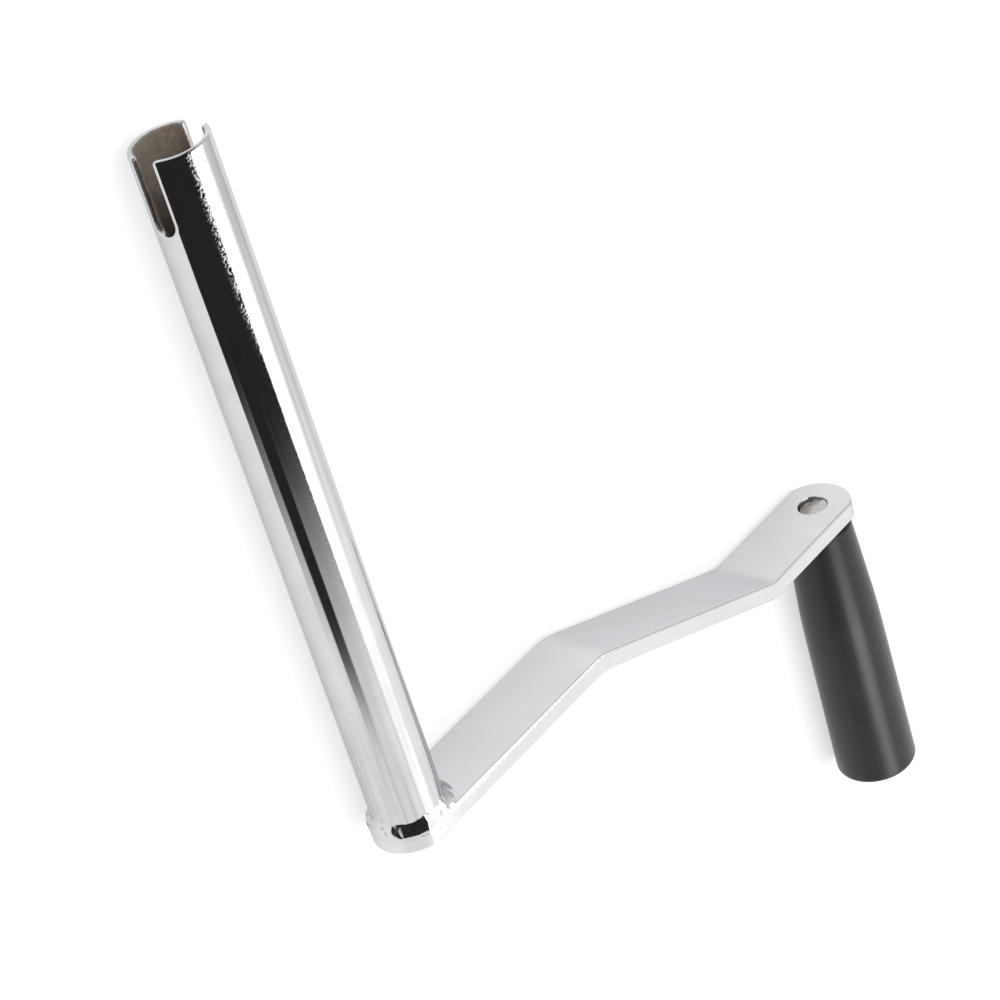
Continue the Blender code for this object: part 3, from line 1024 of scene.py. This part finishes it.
# The strip box, with x across the tube and y along it. It is named part by part for what shows it.
strip_height = 0.362
strip_across = (-0.079, 0.60)
strip_along = (-0.75, 0.22)
strip_in_grip = 7.5
strip_in_arm = 1.35
strip_in_foot = 1.70
strip_in_tube = 3.2
strip_edge_in_arm = 1.34
strip_edge_in_tube = 0.95
grip_part_y = (-0.320, -0.302)
grip_part_x = (0.11, 0.15)
grip_part_fade = (-0.45, -0.34)
grip_part_least = 0.45
foot_part_y = (-0.310, -0.280)
tube_part_y = (-0.20, -0.06)
edge_part_y = (-0.33, -0.17)
strip_fall_start = 0.13
strip_fall_width = 0.40


def strip_light():
    """Points of the strip box and their brightness. Along it, brightness passes by smooth steps from the
    arm's part, with the grip's brighter part at one side of it, to the foot's and the tube's. Across it, that
    falls to the edge's brightness as the fourth power of the way left."""
    grid = flat_grid(spread(*strip_across, 90), spread(*strip_along, 90))
    x, y = grid[..., 0], grid[..., 1]
    over_grip = (1 - smooth_step(y, *grip_part_y)) * (1 - smooth_step(x, *grip_part_x))
    over_grip = over_grip * (grip_part_least + (1 - grip_part_least) * smooth_step(y, *grip_part_fade))
    peak = strip_in_arm + (strip_in_foot - strip_in_arm) * smooth_step(y, *foot_part_y)
    peak = peak + (strip_in_tube - strip_in_foot) * smooth_step(y, *tube_part_y)
    peak = peak + (strip_in_grip - strip_in_arm) * over_grip
    edge = strip_edge_in_arm + (strip_edge_in_tube - strip_edge_in_arm) * smooth_step(y, *edge_part_y)
    side = (1 - np.clip((x - strip_fall_start) / strip_fall_width, 0, 1)) ** 4
    return grid, edge + (peak - edge) * side


strip_grid, strip_brightness = strip_light()
reflected_card("strip_board", strip_grid, strip_brightness, Matrix.Translation((0, 0, strip_height)))

# What stands behind the camera. Turns are in degrees about the tube, from the arm's direction upwards, and
# heights are the places up the tube that show each level.
camera_slant = (0.747, 1.18)
stand_start = (135.5, 139.5)
stand_end = (162, 169)
black_height = 0.162
black_drop_at_stand = 0.080
black_rise_beyond = 0.030
white_height = 0.038
white_drop_at_stand = 0.010
white_rise_beyond = 0.020
card_dark = 0.025
card_pale = 1.10
arm_side_glow = 0.20
arm_side_turns = (92, 118)
floor_side_glow = 0.10
floor_side_turns = (168, 176)


def camera_side(turn, distance, height):
    """Brightness of what stands behind the camera, by its turn about the tube, its distance from the tube
    and its own height along it. The camera's slant gives the height on the tube at which it shows. It is
    black above, shades into the white wall below, and stays black for longer in one strip, where the
    camera's stand is."""
    shown = (height - foot[1] + camera_slant[0] * distance) / (1 + camera_slant[1] * distance)
    beyond = smooth_step(turn, *stand_end)
    stand = smooth_step(turn, *stand_start) * (1 - beyond)
    black_above = black_height - black_drop_at_stand * stand + black_rise_beyond * beyond
    white_below = white_height - white_drop_at_stand * stand + white_rise_beyond * beyond
    pale = card_pale + arm_side_glow * (1 - smooth_step(turn, *arm_side_turns))
    pale = pale + floor_side_glow * smooth_step(turn, *floor_side_turns)
    return card_dark + (pale - card_dark) * (1 - smooth_step(shown, white_below, black_above))


def facing_tube(angle, distance):
    """The place of a board beside the tube: this far from its axis, at an angle measured upwards from the
    arm's direction, with its own Y along the tube and its back turned away from it."""
    turn = math.radians(angle)
    out = Vector((math.cos(turn), 0, math.sin(turn)))
    length = Vector((0, 1, 0))
    place = Matrix((length.cross(out), length, out)).transposed().to_4x4()
    place.translation = Vector((foot[0], 0, foot[2])) + out * distance
    return place


def tube_card(name, angle, distance, turns, heights):
    """A flat card facing the tube that carries what stands behind the camera. Turns and heights are (first,
    last, count). Its columns are evenly spaced in turn about the tube, so each lies at the tangent of its
    turn from the card's middle."""
    turn = spread(*turns)
    grid = flat_grid(np.tan(np.radians(angle - turn)) * distance, spread(*heights))
    reach = np.hypot(grid[..., 0], distance)
    brightness = camera_side(column(turn), reach, grid[..., 1])
    reflected_card(name, grid, brightness, facing_tube(angle, distance))


tube_card("camera_card", angle=129.0, distance=1.2, turns=(85.5, 178.0, 160), heights=(-1.9, 1.3, 200))

# The dark card stands past the tube's mouth, square to the tube.
front_card_distance = 1.0
front_card_dark = 0.10
front_card_side = (-0.30, 0.50)
front_card_rise = (0.45, 1.40)

front_grid = flat_grid(spread(*front_card_side, 9), spread(*front_card_rise, 9))
front_place = Matrix.Translation((0, front_card_distance, 0)) @ Matrix.Rotation(math.pi / 2, 4, "X")
reflected_card("front_card", front_grid, front_card_dark + 0 * front_grid[..., 0], front_place)

tube_card("low_card", angle=180.0, distance=0.19, turns=(170.0, 184.6, 40), heights=(-0.60, 0.30, 160))

# The room is pale, and brighter in one direction, beyond the tube's foot.
room_light = 0.80
glow_light = 1.35
glow_direction = (0.10, -0.97, 0.20)
glow_reach = (0.50, 0.72)

world = bpy.data.worlds.new("pale_room")
world.use_nodes = True
sky = world.node_tree
direction = shader_node(sky, "ShaderNodeTexCoord").outputs["Generated"]
toward_glow = shader_node(
    sky, "ShaderNodeVectorMath",
    {0: direction, 1: Vector(glow_direction).normalized()}, operation="DOT_PRODUCT",
).outputs["Value"]
connect(sky, sky.nodes["Background"], {
    "Color": (1.0, 1.0, 1.0, 1.0),
    "Strength": ranged(sky, toward_glow, *glow_reach, room_light, glow_light),
})
bpy.context.scene.world = world
bpy.context.scene.view_settings.view_transform = "Standard"

camera_azimuth = math.radians(226.92)
camera_elevation = math.radians(39.02)
camera_roll = math.radians(102.82)
camera_distance = 1.0915
camera_target = Vector((-0.0169, 0.0065, -0.0048))
camera_lens = 114.84
camera_sensor = 36.0

camera = bpy.data.objects.new("camera", bpy.data.cameras.new("camera"))
back = Vector((
    math.sin(camera_azimuth) * math.cos(camera_elevation),
    -math.cos(camera_azimuth) * math.cos(camera_elevation),
    math.sin(camera_elevation),
))
camera.data.lens = camera_lens
camera.data.sensor_width = camera_sensor
camera.rotation_mode = "QUATERNION"
camera.location = camera_target + back * camera_distance
roll = Matrix.Rotation(camera_roll, 4, "Z").to_quaternion()
camera.rotation_quaternion = (-back).to_track_quat("-Z", "Y") @ roll
bpy.context.scene.collection.objects.link(camera)
bpy.context.scene.camera = camera

low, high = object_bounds()
